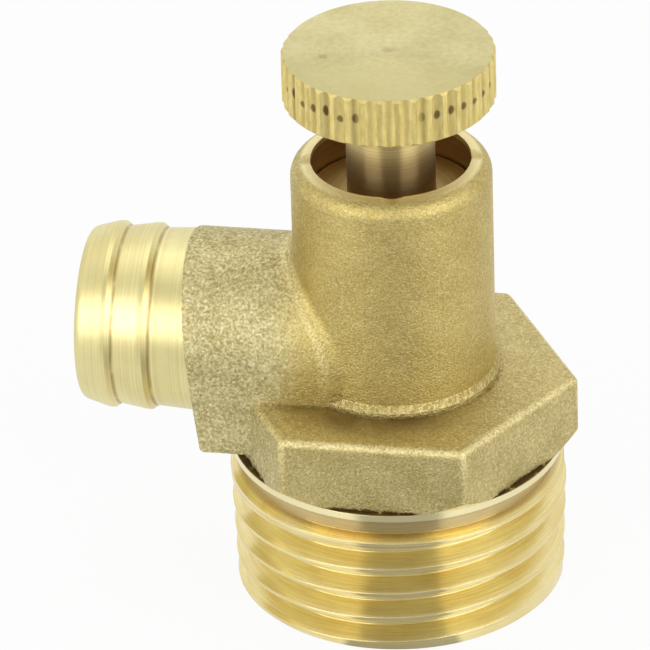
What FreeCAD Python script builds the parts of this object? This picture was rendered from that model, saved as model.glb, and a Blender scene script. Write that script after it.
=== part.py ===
"""Drain cock: a cast brass body on a taper pipe thread, with a hose tail and a knurled screw-down spindle.

The origin is the centre of the thread's end face. +Z runs up the barrel and the hose tail points along -X.
"""
import FreeCAD, Part
import math
import os
import Sketcher

SIZES = [
    ("thread_gauge_diameter", 20.955, "major diameter of the R 1/2 taper thread at its gauge plane"),
    ("thread_gauge_height", 4.0, "gauge plane above the end face"),
    ("thread_pitch", 1.814, "14 threads to the inch"),
    ("thread_taper", 16.0, "one in sixteen on the diameter"),
    ("thread_depth", 1.162, "crest to root"),
    ("thread_root_flat", 0.40, "width of the root"),
    ("thread_flank_angle", 27.5, "half of the 55 degree thread angle"),
    ("thread_length", 8.1, "end face to the start of the relief"),
    ("thread_start", 0.15, "end face to the middle of the groove where the thread starts"),
    ("thread_lead_in", 0.30, "chamfer on the end of the thread"),
    ("relief_diameter", 19.8, "turned relief above the thread"),
    ("relief_width", 1.5, "height of the relief"),
    ("relief_slope", 0.35, "slope from the last crest into the relief"),
    ("shoulder_diameter", 20.9, "turned shoulder under the hexagon"),
    ("shoulder_height", 0.45, "height of that shoulder"),
    ("hex_flats", 20.0, "across the flats"),
    ("hex_height", 4.65, "height of the hexagon"),
    ("hex_corner_round", 0.6, "round on the upright corners"),
    ("hex_edge_round", 0.5, "round on the top edge"),
    ("hex_turned_angle", 41.0, "slope of the turned cone under the corners"),
    ("barrel_diameter", 12.52, "outside of the barrel"),
    ("barrel_length", 14.96, "hexagon to rim"),
    ("rim_round", 1.1, "round on the outer edge of the rim"),
    ("lip_thickness", 0.35, "staked lip that keeps the spindle in"),
    ("lip_diameter", 9.98, "opening in the lip"),
    ("stake_count", 4, "punch marks around the rim"),
    ("stake_first_angle", -80.0, "angle of the first mark"),
    ("stake_radius", 2.2, "round of a mark"),
    ("stake_depth", 0.12, "depth of a mark below the rim"),
    ("bore_diameter", 10.6, "upper bore, which holds the collar"),
    ("chamber_diameter", 9.2, "chamber and seal bore"),
    ("branch_rise", 2.55, "hexagon top to the axis of the branch"),
    ("branch_diameter", 11.7, "cast branch"),
    ("branch_reach", 12.4, "barrel axis to the end of the casting, on the axis of the branch"),
    ("branch_end_lean", 6.0, "lean of that end, out at the top and in at the foot"),
    ("branch_end_round", 0.35, "round on the end of the casting"),
    ("web_width", 11.1, "width of the web at its foot"),
    ("web_drop", 6.4, "branch axis to the foot of the web"),
    ("joint_round", 0.8, "cast fillet where the branch meets the barrel"),
    ("foot_diameter", 13.1, "raised ring at the foot of the barrel"),
    ("foot_height", 0.35, "height of that ring"),
    ("foot_slope", 0.45, "slope from that ring up to the barrel"),
    ("outlet_diameter", 7.5, "bore of the hose tail"),
    ("port_diameter", 5.8, "port from the chamber into that bore"),
    ("port_wall", 1.2, "wall between the chamber and that bore"),
    ("tail_length", 7.1, "casting to the end of the hose tail"),
    ("tail_root_diameter", 11.5, "tail where it leaves the casting"),
    ("tail_tip_diameter", 10.75, "tail at its end"),
    ("tail_tip_round", 0.6, "round on the tip"),
    ("ridge_diameter", 11.76, "crest of each hose ridge"),
    ("ridge_land", 0.3, "flat on each crest"),
    ("ridge_back", 0.4, "length of the steep back of a ridge"),
    ("ridge_pitch", 2.35, "from one ridge to the next"),
    ("ridge_inset", 1.75, "end of the tail to the first ridge"),
    ("valley_diameter", 11.2, "foot of each ridge"),
    ("inlet_diameter", 14.5, "bore through the thread"),
    ("floor_below_branch", 5.25, "branch axis to the chamber floor"),
    ("floor_thickness", 3.0, "chamber floor"),
    ("orifice_diameter", 5.0, "hole in the seat"),
    ("seat_diameter", 7.2, "outside of the raised seat"),
    ("seat_height", 0.6, "seat above the chamber floor"),
    ("running_clearance", 0.1, "radial clearance of the spindle in its bores"),
    ("pin_clearance", 0.05, "radial clearance of the jumper's pin"),
    ("face_gap", 0.05, "gap between faces that press on each other in use"),
    ("lift_travel", 2.0, "how far the spindle rises from closed to open"),
    ("collar_length", 2.3, "threaded collar of the spindle"),
    ("collar_floor_gap", 0.3, "collar to the step in the bore when closed"),
    ("stem_diameter", 5.52, "stem between collar and knob"),
    ("nose_diameter", 6.0, "spindle below the seal"),
    ("seal_section", 1.4, "section of the O-ring"),
    ("seal_groove_width", 1.8, "groove for the O-ring"),
    ("seal_groove_diameter", 6.2, "bottom of that groove"),
    ("seal_land", 0.7, "land below the groove"),
    ("seal_margin", 0.1, "seal bore left above the O-ring when open"),
    ("knob_gap", 4.34, "rim to the underside of the knob when closed"),
    ("knob_diameter", 13.2, "outside of the knob"),
    ("knob_thickness", 3.2, "height of the knob"),
    ("knob_chamfer", 0.15, "chamfer on both edges"),
    ("knurl_count", 40, "straight grooves around the knob"),
    ("knurl_depth", 0.16, "depth of a groove"),
    ("knurl_round", 0.55, "round of a groove in section"),
    ("washer_diameter", 7.6, "valve washer"),
    ("washer_thickness", 2.1, "valve washer"),
    ("jumper_diameter", 8.2, "plate of the jumper"),
    ("jumper_thickness", 1.5, "plate of the jumper"),
    ("jumper_pin_diameter", 2.8, "pin in the end of the spindle"),
    ("jumper_pin_length", 2.8, "length of that pin"),
    ("socket_extra", 0.3, "room above the pin"),
    ("rivet_diameter", 2.1, "stub through the washer"),
    ("rivet_head_diameter", 3.2, "head under the washer"),
    ("rivet_head_height", 0.5, "head under the washer"),
]

doc = FreeCAD.newDocument("drain_cock")
sheet = doc.addObject("Spreadsheet::Sheet", "sizes")
for row, (alias, value, note) in enumerate(SIZES, start=1):
    sheet.set("A%d" % row, note)
    sheet.set("B%d" % row, str(value))
    sheet.setAlias("B%d" % row, alias)
doc.recompute()


def number(expression):
    """The present value of an expression over the sheet."""
    return float(sheet.evalExpression(expression))


# Levels up the barrel axis
RELIEF_TOP = "(sizes.thread_length + sizes.relief_width)"
HEX_BOTTOM = "(%s + sizes.shoulder_height)" % RELIEF_TOP
HEX_TOP = "(%s + sizes.hex_height)" % HEX_BOTTOM
RIM = "(%s + sizes.barrel_length)" % HEX_TOP
BRANCH_AXIS = "(%s + sizes.branch_rise)" % HEX_TOP
FLOOR = "(%s - sizes.floor_below_branch)" % BRANCH_AXIS
INLET_TOP = "(%s - sizes.floor_thickness)" % FLOOR
SEAT = "(%s + sizes.seat_height)" % FLOOR
LIP_UNDERSIDE = "(%s - sizes.lip_thickness)" % RIM
COLLAR_TOP = "(%s - sizes.lift_travel - sizes.face_gap)" % LIP_UNDERSIDE
COLLAR_BOTTOM = "(%s - sizes.collar_length)" % COLLAR_TOP
BORE_STEP = "(%s - sizes.collar_floor_gap)" % COLLAR_BOTTOM
SEAL_LEVEL = "(%s - sizes.lift_travel - sizes.seal_section / 2 - sizes.seal_margin)" % BORE_STEP
GROOVE_TOP = "(%s + sizes.seal_groove_width / 2)" % SEAL_LEVEL
GROOVE_BOTTOM = "(%s - sizes.seal_groove_width / 2)" % SEAL_LEVEL
LAND_BOTTOM = "(%s - sizes.seal_land)" % GROOVE_BOTTOM
WASHER_BOTTOM = "(%s + sizes.face_gap)" % SEAT
WASHER_TOP = "(%s + sizes.washer_thickness)" % WASHER_BOTTOM
JUMPER_TOP = "(%s + sizes.jumper_thickness)" % WASHER_TOP
NOSE_BOTTOM = "(%s + sizes.face_gap)" % JUMPER_TOP
PIN_TOP = "(%s + sizes.jumper_pin_length)" % JUMPER_TOP
SOCKET_TOP = "(%s + sizes.socket_extra)" % PIN_TOP
KNOB_BOTTOM = "(%s + sizes.knob_gap)" % RIM
KNOB_TOP = "(%s + sizes.knob_thickness)" % KNOB_BOTTOM

# Radii of the taper thread
THREAD_SLOPE = "(1 / (2 * sizes.thread_taper))"
END_RADIUS = "(sizes.thread_gauge_diameter / 2 - sizes.thread_gauge_height * %s)" % THREAD_SLOPE
LAST_RADIUS = "(%s + sizes.thread_length * %s)" % (END_RADIUS, THREAD_SLOPE)


def plane(body, role):
    """One of the body's own origin planes."""
    for feature in body.Origin.OriginFeatures:
        if feature.Role == role:
            return feature
    raise ValueError(role)


def new_body(label):
    body = doc.addObject("PartDesign::Body", label)
    body.Label = label
    return body


def new_sketch(body, name, role):
    sketch = body.newObject("Sketcher::SketchObject", name)
    sketch.AttachmentSupport = [(plane(body, role), "")]
    sketch.MapMode = "FlatFace"
    return sketch


def place_point(sketch, line, corner, expressions):
    """Hold the start of a line at a pair of expressions measured from the sketch's origin."""
    for kind, expression, axis in (("DistanceX", expressions[0], -2), ("DistanceY", expressions[1], -1)):
        if expression == "0":
            sketch.addConstraint(Sketcher.Constraint("PointOnObject", line, corner, axis))
            continue
        index = sketch.addConstraint(
            Sketcher.Constraint(kind, -1, 1, line, corner, number(expression)))
        sketch.setExpression("Constraints[%d]" % index, expression)


def outline(body, name, role, points):
    """A closed outline of straight lines through points given as pairs of expressions."""
    sketch = new_sketch(body, name, role)
    spots = [FreeCAD.Vector(number(x), number(y), 0) for x, y in points]
    count = len(spots)
    for i in range(count):
        sketch.addGeometry(Part.LineSegment(spots[i], spots[(i + 1) % count]), False)
    for i in range(count):
        sketch.addConstraint(Sketcher.Constraint("Coincident", i, 2, (i + 1) % count, 1))
    for i in range(count):
        place_point(sketch, i, 1, points[i])
    return sketch


def circle(body, name, role, center, radius):
    sketch = new_sketch(body, name, role)
    spot = FreeCAD.Vector(number(center[0]), number(center[1]), 0)
    sketch.addGeometry(Part.Circle(spot, FreeCAD.Vector(0, 0, 1), number(radius)), False)
    place_point(sketch, 0, 3, center)
    index = sketch.addConstraint(Sketcher.Constraint("Radius", 0, number(radius)))
    sketch.setExpression("Constraints[%d]" % index, radius)
    return sketch


def turned(body, name, kind, sketch, axis):
    """A full turn of an outline about one axis of its sketch, added or cut away."""
    feature = body.newObject("PartDesign::" + kind, name)
    feature.Profile = sketch
    feature.ReferenceAxis = (sketch, [axis])
    feature.Angle = 360
    doc.recompute()
    return feature


def rounded(body, name, base, edges, radius):
    feature = body.newObject("PartDesign::Fillet", name)
    feature.Base = (base, edges)
    feature.setExpression("Radius", radius)
    doc.recompute()
    return feature


def edge_names(shape, wanted):
    """Names of the edges for which the test on the edge holds."""
    return ["Edge%d" % (i + 1) for i, edge in enumerate(shape.Edges) if wanted(edge)]


def near(a, b, slack=0.02):
    return abs(a - b) < slack


def ring(radius, level):
    """A test for a round edge about the barrel axis."""
    def wanted(edge):
        if edge.Degenerated or not isinstance(edge.Curve, Part.Circle):
            return False
        center = edge.Curve.Center
        on_axis = math.hypot(center.x, center.y) < 0.01
        return on_axis and near(center.z, level) and near(edge.Curve.Radius, radius)
    return wanted


# Valve body: hexagon, cast with rounded corners and turned underneath
valve_body = new_body("valve_body")
HEX_APOTHEM = "(sizes.hex_flats / 2)"
HEX_CORNER = "(sizes.hex_flats / sqrt(3))"
hex_outline = outline(valve_body, "hex_outline", "XY_Plane", [
    (HEX_CORNER, "0"),
    (HEX_CORNER + " / 2", HEX_APOTHEM),
    ("-" + HEX_CORNER + " / 2", HEX_APOTHEM),
    ("-" + HEX_CORNER, "0"),
    ("-" + HEX_CORNER + " / 2", "-" + HEX_APOTHEM),
    (HEX_CORNER + " / 2", "-" + HEX_APOTHEM),
])
hex_outline.setExpression("AttachmentOffset.Base.z", HEX_BOTTOM)
hexagon = valve_body.newObject("PartDesign::Pad", "hexagon")
hexagon.Profile = hex_outline
hexagon.setExpression("Length", "sizes.hex_height")
doc.recompute()

corner_radius = number(HEX_CORNER)


def is_hex_corner(edge):
    spot = edge.CenterOfMass
    upright = abs(edge.Vertexes[0].Z - edge.Vertexes[-1].Z) > 0.9 * number("sizes.hex_height")
    return upright and near(math.hypot(spot.x, spot.y), corner_radius)


hex_corners = rounded(valve_body, "hex_corners", hexagon,
                      edge_names(hexagon.Shape, is_hex_corner), "sizes.hex_corner_round")
hex_top_level = number(HEX_TOP)
hex_edge = rounded(valve_body, "hex_edge", hex_corners,
                   edge_names(hex_corners.Shape,
                              lambda edge: all(near(v.Z, hex_top_level) for v in edge.Vertexes)),
                   "sizes.hex_edge_round")

CONE_REACH = "(sizes.hex_flats)"
CONE_RISE = "((%s - sizes.shoulder_diameter / 2) * tan(sizes.hex_turned_angle * 1deg))" % CONE_REACH
corner_cone = outline(valve_body, "corner_cone", "XZ_Plane", [
    ("sizes.shoulder_diameter / 2", HEX_BOTTOM),
    (CONE_REACH, HEX_BOTTOM + " - sizes.shoulder_height"),
    (CONE_REACH, HEX_BOTTOM + " + " + CONE_RISE),
])
turned_corners = turned(valve_body, "turned_corners", "Groove", corner_cone, "V_Axis")

# Thread blank, relief, shoulder and barrel in one outline about the barrel axis
FOOT_TOP = "(%s + sizes.foot_height + sizes.foot_slope)" % HEX_TOP
core_outline = outline(valve_body, "core_outline", "XZ_Plane", [
    ("0", "0"),
    (END_RADIUS + " - sizes.thread_lead_in", "0"),
    (END_RADIUS, "sizes.thread_lead_in"),
    (LAST_RADIUS, "sizes.thread_length"),
    ("sizes.relief_diameter / 2", "sizes.thread_length + sizes.relief_slope"),
    ("sizes.relief_diameter / 2", RELIEF_TOP),
    ("sizes.shoulder_diameter / 2", RELIEF_TOP),
    ("sizes.shoulder_diameter / 2", HEX_BOTTOM),
    ("sizes.foot_diameter / 2", HEX_BOTTOM),
    ("sizes.foot_diameter / 2", HEX_TOP + " + sizes.foot_height"),
    ("sizes.barrel_diameter / 2", FOOT_TOP),
    ("sizes.barrel_diameter / 2", RIM),
    ("0", RIM),
])
core = turned(valve_body, "core", "Revolution", core_outline, "V_Axis")

# Branch: an arch in section, with a web down to the hexagon
branch_outline = new_sketch(valve_body, "branch_outline", "YZ_Plane")
half_branch = number("sizes.branch_diameter / 2")
half_web = number("sizes.web_width / 2")
axis_level = number(BRANCH_AXIS)
web_level = number(BRANCH_AXIS + " - sizes.web_drop")
branch_outline.addGeometry(Part.ArcOfCircle(
    Part.Circle(FreeCAD.Vector(0, axis_level, 0), FreeCAD.Vector(0, 0, 1), half_branch), 0, math.pi), False)
arch_spots = [(-half_branch, axis_level), (-half_web, web_level), (half_web, web_level), (half_branch, axis_level)]
for start, end in zip(arch_spots, arch_spots[1:]):
    branch_outline.addGeometry(Part.LineSegment(
        FreeCAD.Vector(start[0], start[1], 0), FreeCAD.Vector(end[0], end[1], 0)), False)
for constraint in (
        Sketcher.Constraint("Coincident", 0, 2, 1, 1),
        Sketcher.Constraint("Coincident", 1, 2, 2, 1),
        Sketcher.Constraint("Coincident", 2, 2, 3, 1),
        Sketcher.Constraint("Coincident", 3, 2, 0, 1)):
    branch_outline.addConstraint(constraint)
place_point(branch_outline, 0, 3, ("0", BRANCH_AXIS))
place_point(branch_outline, 0, 1, ("sizes.branch_diameter / 2", BRANCH_AXIS))
arch_end = branch_outline.addConstraint(Sketcher.Constraint("DistanceY", -1, 1, 0, 2, axis_level))
branch_outline.setExpression("Constraints[%d]" % arch_end, BRANCH_AXIS)
place_point(branch_outline, 2, 1, ("-sizes.web_width / 2", BRANCH_AXIS + " - sizes.web_drop"))
place_point(branch_outline, 3, 1, ("sizes.web_width / 2", BRANCH_AXIS + " - sizes.web_drop"))
branch = valve_body.newObject("PartDesign::Pad", "branch")
branch.Profile = branch_outline
branch.Reversed = True
LEAN = "tan(sizes.branch_end_lean * 1deg)"
branch.setExpression("Length", "sizes.branch_reach + sizes.branch_diameter * %s" % LEAN)
doc.recompute()

# The end of the casting leans, so a wedge comes off it
WEDGE_TOP = BRANCH_AXIS + " + sizes.branch_diameter"
WEDGE_DEPTH = "(sizes.web_drop + sizes.branch_end_round)"
WEDGE_BOTTOM = BRANCH_AXIS + " - " + WEDGE_DEPTH
WEDGE_OUTSIDE = "-(sizes.branch_reach + 2 * sizes.branch_diameter)"
wedge_outline = outline(valve_body, "wedge_outline", "XZ_Plane", [
    ("-(sizes.branch_reach + sizes.branch_diameter * %s)" % LEAN, WEDGE_TOP),
    (WEDGE_OUTSIDE, WEDGE_TOP),
    (WEDGE_OUTSIDE, WEDGE_BOTTOM),
    ("-(sizes.branch_reach - %s * %s)" % (WEDGE_DEPTH, LEAN), WEDGE_BOTTOM),
])
wedge_outline.setExpression("AttachmentOffset.Base.z", "sizes.branch_diameter")
wedge = valve_body.newObject("PartDesign::Pocket", "wedge")
wedge.Profile = wedge_outline
wedge.setExpression("Length", "2 * sizes.branch_diameter")
doc.recompute()


def is_casting_end(edge):
    """Edges on the leaning end."""
    lean = number(LEAN)
    reach = number("sizes.branch_reach")
    return all(near(v.X, -(reach + (v.Z - axis_level) * lean)) for v in edge.Vertexes)


casting_end = rounded(valve_body, "casting_end", wedge, edge_names(wedge.Shape, is_casting_end),
                      "sizes.branch_end_round")

barrel_radius = number("sizes.barrel_diameter / 2")
foot_top_level = number(FOOT_TOP)


def is_barrel_joint(edge):
    """Edges on the barrel's skin, between its foot and the rim, where the branch leaves it."""
    if len(edge.Vertexes) < 2:
        return False
    first, last = edge.ParameterRange
    for step in range(5):
        spot = edge.valueAt(first + (last - first) * (step + 0.5) / 5)
        if not near(math.hypot(spot.x, spot.y), barrel_radius):
            return False
        if spot.z < foot_top_level + 0.01 or spot.x > -0.1:
            return False
    return True


joint_fillet = rounded(valve_body, "joint_fillet", casting_end,
                       edge_names(casting_end.Shape, is_barrel_joint), "sizes.joint_round")

# Hose tail, turned about the branch axis
TAIL_END = "(sizes.branch_reach + sizes.tail_length)"
FIRST_RIDGE = "(%s - sizes.ridge_inset)" % TAIL_END
SECOND_RIDGE = "(%s - sizes.ridge_pitch)" % FIRST_RIDGE
TAIL_ROOT = "(sizes.branch_reach - sizes.barrel_diameter / 4)"


def ridge(crest):
    """Flat and steep back of a ridge whose crest starts at a distance from the barrel axis."""
    return [
        ("-" + crest, "sizes.ridge_diameter / 2"),
        ("-(%s - sizes.ridge_land)" % crest, "sizes.ridge_diameter / 2"),
        ("-(%s - sizes.ridge_land - sizes.ridge_back)" % crest, "sizes.valley_diameter / 2"),
    ]


tail_outline = outline(valve_body, "tail_outline", "XZ_Plane", [
    ("-" + TAIL_ROOT, "0"),
    ("-" + TAIL_END, "0"),
    ("-" + TAIL_END, "sizes.tail_tip_diameter / 2"),
] + ridge(FIRST_RIDGE) + ridge(SECOND_RIDGE) + [
    ("-sizes.branch_reach", "sizes.tail_root_diameter / 2"),
    ("-" + TAIL_ROOT, "sizes.tail_root_diameter / 2"),
])
tail_outline.setExpression("AttachmentOffset.Base.y", BRANCH_AXIS)
hose_tail = turned(valve_body, "hose_tail", "Revolution", tail_outline, "H_Axis")
tail_tip_place = -number(TAIL_END)
tail_tip = rounded(valve_body, "tail_tip", hose_tail,
                   edge_names(hose_tail.Shape,
                              lambda edge: all(near(v.X, tail_tip_place) for v in edge.Vertexes)),
                   "sizes.tail_tip_round")
rim_edge = rounded(valve_body, "rim_edge", tail_tip,
                   edge_names(tail_tip.Shape, ring(barrel_radius, number(RIM))), "sizes.rim_round")

# Waterway: inlet, seat, chamber, collar bore and the opening in the lip
BELOW_END = "-sizes.thread_pitch"
ABOVE_RIM = RIM + " + sizes.barrel_diameter"
waterway_outline = outline(valve_body, "waterway_outline", "XZ_Plane", [
    ("0", BELOW_END),
    ("sizes.inlet_diameter / 2", BELOW_END),
    ("sizes.inlet_diameter / 2", INLET_TOP),
    ("sizes.orifice_diameter / 2", INLET_TOP),
    ("sizes.orifice_diameter / 2", SEAT),
    ("sizes.seat_diameter / 2", SEAT),
    ("sizes.seat_diameter / 2", FLOOR),
    ("sizes.chamber_diameter / 2", FLOOR),
    ("sizes.chamber_diameter / 2", BORE_STEP),
    ("sizes.bore_diameter / 2", BORE_STEP),
    ("sizes.bore_diameter / 2", LIP_UNDERSIDE),
    ("sizes.lip_diameter / 2", LIP_UNDERSIDE),
    ("sizes.lip_diameter / 2", ABOVE_RIM),
    ("0", ABOVE_RIM),
])
waterway = turned(valve_body, "waterway", "Groove", waterway_outline, "V_Axis")

PORT_END = "(sizes.chamber_diameter / 2 + sizes.port_wall)"
outlet_outline = circle(valve_body, "outlet_outline", "YZ_Plane", ("0", BRANCH_AXIS), "sizes.outlet_diameter / 2")
outlet_outline.setExpression("AttachmentOffset.Base.z", "-" + PORT_END)
outlet = valve_body.newObject("PartDesign::Pocket", "outlet")
outlet.Profile = outlet_outline
outlet.setExpression("Length", TAIL_END)
doc.recompute()
port_outline = circle(valve_body, "port_outline", "YZ_Plane", ("0", BRANCH_AXIS), "sizes.port_diameter / 2")
port = valve_body.newObject("PartDesign::Pocket", "port")
port.Profile = port_outline
port.setExpression("Length", PORT_END + " + sizes.port_wall")
doc.recompute()

# Punch marks that stake the rim over the collar
stake_outline = circle(valve_body, "stake_outline", "XZ_Plane",
                       ("0", RIM + " + sizes.stake_radius - sizes.stake_depth"), "sizes.stake_radius")
TURN_TO_STAKE = "(sizes.stake_first_angle + 90)"
stake_outline.AttachmentOffset = FreeCAD.Placement(
    FreeCAD.Vector(), FreeCAD.Rotation(FreeCAD.Vector(0, 1, 0), number(TURN_TO_STAKE)))
stake_outline.setExpression("AttachmentOffset.Rotation.Angle", TURN_TO_STAKE)
stake = valve_body.newObject("PartDesign::Pocket", "stake")
stake.Profile = stake_outline
stake.setExpression("Length", "sizes.barrel_diameter")
stake.Reversed = True
doc.recompute()
stakes = valve_body.newObject("PartDesign::PolarPattern", "stakes")
stakes.Originals = [stake]
stakes.Axis = (stake_outline, ["V_Axis"])
stakes.Angle = 360
stakes.setExpression("Occurrences", "sizes.stake_count")
valve_body.Tip = stakes
doc.recompute()

# Right-hand taper thread, cut from a blunt start near the end face up into the relief
THREAD_START = "sizes.thread_start"
ROOT_AT_START = "(%s + %s * %s - sizes.thread_depth)" % (END_RADIUS, THREAD_START, THREAD_SLOPE)
GROOVE_OUTSIDE = "(sizes.thread_depth * 1.5)"
ROOT_HALF = "(sizes.thread_root_flat / 2)"
GROOVE_HALF = "(%s + %s * tan(sizes.thread_flank_angle * 1deg))" % (ROOT_HALF, GROOVE_OUTSIDE)
thread_outline = outline(valve_body, "thread_outline", "XZ_Plane", [
    (ROOT_AT_START, "%s - %s" % (THREAD_START, ROOT_HALF)),
    ("%s + %s" % (ROOT_AT_START, GROOVE_OUTSIDE), "%s - %s" % (THREAD_START, GROOVE_HALF)),
    ("%s + %s" % (ROOT_AT_START, GROOVE_OUTSIDE), "%s + %s" % (THREAD_START, GROOVE_HALF)),
    (ROOT_AT_START, "%s + %s" % (THREAD_START, ROOT_HALF)),
])
doc.recompute()
thread = valve_body.newObject("PartDesign::SubtractiveHelix", "thread")
thread.Profile = thread_outline
thread.ReferenceAxis = (thread_outline, ["V_Axis"])
thread.Mode = "pitch-height-angle"
thread.setExpression("Pitch", "sizes.thread_pitch")
thread.setExpression("Height", "sizes.thread_length - %s - sizes.thread_pitch * 0.13" % THREAD_START)
thread.setExpression("Angle", "atan(%s)" % THREAD_SLOPE)
thread.LeftHanded = False
thread.Reversed = False
doc.recompute()

# Spindle: knob, stem, threaded collar, seal groove and nose, turned in one piece
spindle = new_body("spindle")
COLLAR_RADIUS = "(sizes.bore_diameter / 2 - sizes.running_clearance)"
LAND_RADIUS = "(sizes.chamber_diameter / 2 - sizes.running_clearance)"
SOCKET_RADIUS = "(sizes.jumper_pin_diameter / 2 + sizes.pin_clearance)"
KNOB_RADIUS = "(sizes.knob_diameter / 2)"
spindle_outline = outline(spindle, "spindle_outline", "XZ_Plane", [
    (SOCKET_RADIUS, NOSE_BOTTOM),
    ("sizes.nose_diameter / 2", NOSE_BOTTOM),
    ("sizes.nose_diameter / 2", LAND_BOTTOM),
    (LAND_RADIUS, LAND_BOTTOM),
    (LAND_RADIUS, GROOVE_BOTTOM),
    ("sizes.seal_groove_diameter / 2", GROOVE_BOTTOM),
    ("sizes.seal_groove_diameter / 2", GROOVE_TOP),
    (LAND_RADIUS, GROOVE_TOP),
    (LAND_RADIUS, COLLAR_BOTTOM),
    (COLLAR_RADIUS, COLLAR_BOTTOM),
    (COLLAR_RADIUS, COLLAR_TOP),
    ("sizes.stem_diameter / 2", COLLAR_TOP),
    ("sizes.stem_diameter / 2", KNOB_BOTTOM),
    (KNOB_RADIUS + " - sizes.knob_chamfer", KNOB_BOTTOM),
    (KNOB_RADIUS, KNOB_BOTTOM + " + sizes.knob_chamfer"),
    (KNOB_RADIUS, KNOB_TOP + " - sizes.knob_chamfer"),
    (KNOB_RADIUS + " - sizes.knob_chamfer", KNOB_TOP),
    ("0", KNOB_TOP),
    ("0", SOCKET_TOP),
    (SOCKET_RADIUS, SOCKET_TOP),
])
spindle_blank = turned(spindle, "spindle_blank", "Revolution", spindle_outline, "V_Axis")

KNURL_CENTER = "(%s - sizes.knurl_depth + sizes.knurl_round)" % KNOB_RADIUS
knurl_outline = circle(spindle, "knurl_outline", "XY_Plane", (KNURL_CENTER, "0"), "sizes.knurl_round")
knurl_outline.setExpression("AttachmentOffset.Base.z", KNOB_BOTTOM + " - sizes.knob_chamfer")
knurl = spindle.newObject("PartDesign::Pocket", "knurl")
knurl.Profile = knurl_outline
knurl.setExpression("Length", "sizes.knob_thickness + 2 * sizes.knob_chamfer")
knurl.Reversed = True
doc.recompute()
knurls = spindle.newObject("PartDesign::PolarPattern", "knurls")
knurls.Originals = [knurl]
knurls.Axis = (knurl_outline, ["N_Axis"])
knurls.Angle = 360
knurls.setExpression("Occurrences", "sizes.knurl_count")
spindle.Tip = knurls
doc.recompute()

# O-ring in the spindle's groove
stem_o_ring = new_body("stem_o_ring")
SEAL_CENTER = "(sizes.chamber_diameter / 2 - sizes.pin_clearance - sizes.seal_section / 2)"
seal_outline = circle(stem_o_ring, "seal_outline", "XZ_Plane", (SEAL_CENTER, SEAL_LEVEL), "sizes.seal_section / 2")
seal_ring = turned(stem_o_ring, "seal_ring", "Revolution", seal_outline, "V_Axis")

# Jumper: a plate with a pin above and a riveted stub through the washer
jumper = new_body("jumper")
jumper_outline = outline(jumper, "jumper_outline", "XZ_Plane", [
    ("0", WASHER_BOTTOM + " - sizes.rivet_head_height"),
    ("sizes.rivet_head_diameter / 2", WASHER_BOTTOM + " - sizes.rivet_head_height"),
    ("sizes.rivet_head_diameter / 2", WASHER_BOTTOM),
    ("sizes.rivet_diameter / 2", WASHER_BOTTOM),
    ("sizes.rivet_diameter / 2", WASHER_TOP),
    ("sizes.jumper_diameter / 2", WASHER_TOP),
    ("sizes.jumper_diameter / 2", JUMPER_TOP),
    ("sizes.jumper_pin_diameter / 2", JUMPER_TOP),
    ("sizes.jumper_pin_diameter / 2", PIN_TOP),
    ("0", PIN_TOP),
])
jumper_turned = turned(jumper, "jumper_turned", "Revolution", jumper_outline, "V_Axis")

# Valve washer that closes on the seat
valve_washer = new_body("valve_washer")
washer_outline = outline(valve_washer, "washer_outline", "XZ_Plane", [
    ("sizes.rivet_diameter / 2", WASHER_BOTTOM),
    ("sizes.washer_diameter / 2", WASHER_BOTTOM),
    ("sizes.washer_diameter / 2", WASHER_TOP),
    ("sizes.rivet_diameter / 2", WASHER_TOP),
])
washer_ring = turned(valve_washer, "washer_ring", "Revolution", washer_outline, "V_Axis")

doc.recompute()

for thing in doc.Objects:
    if "Invalid" in thing.State or "Error" in thing.State:
        raise RuntimeError("%s failed: %s" % (thing.Name, thing.State))

os.makedirs("parts", exist_ok=True)
for piece in (valve_body, spindle, stem_o_ring, jumper, valve_washer):
    shape = piece.Shape
    if shape.isNull() or not shape.isValid() or len(shape.Solids) != 1:
        raise RuntimeError("%s is not one sound solid" % piece.Label)
    box = shape.BoundBox
    print("%-14s volume %9.2f  X %.2f..%.2f  Y %.2f..%.2f  Z %.2f..%.2f" % (
        piece.Label, shape.Volume, box.XMin, box.XMax, box.YMin, box.YMax, box.ZMin, box.ZMax))

for piece in (valve_body, spindle, stem_o_ring, jumper, valve_washer):
    piece.Shape.exportStep("parts/%s.step" % piece.Label)
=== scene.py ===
# %% [markdown]
# A drain cock is a small brass tap that empties a boiler or a pipe run through a hose. The solids
# come ready made: a casting, a turned spindle and the small seals inside it. They could be modelled
# again here, but then they could drift from their drawing, so they are loaded as they are. This
# lesson gives them their finishes, adds the marks that casting and turning leave, paints some
# highlights and shade into their colours, and sets a studio.

# %% Load the solids
import math

import bmesh
import bpy
from mathutils import Matrix, Vector

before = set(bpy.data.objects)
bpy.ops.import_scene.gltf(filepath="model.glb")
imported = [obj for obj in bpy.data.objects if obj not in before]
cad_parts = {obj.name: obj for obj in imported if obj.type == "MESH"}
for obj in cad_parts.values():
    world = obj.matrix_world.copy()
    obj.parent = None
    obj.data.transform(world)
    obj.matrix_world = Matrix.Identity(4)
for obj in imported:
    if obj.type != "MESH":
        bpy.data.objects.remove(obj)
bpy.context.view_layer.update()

# %% [markdown]
# The levels below are the ones that the casting was designed with, measured up from the end of the
# thread. They tell apart the surfaces that came out of the mould and those that met a cutting tool. A
# mask painted by hand would do the same, but a few known levels are exact and easy to change.

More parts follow.
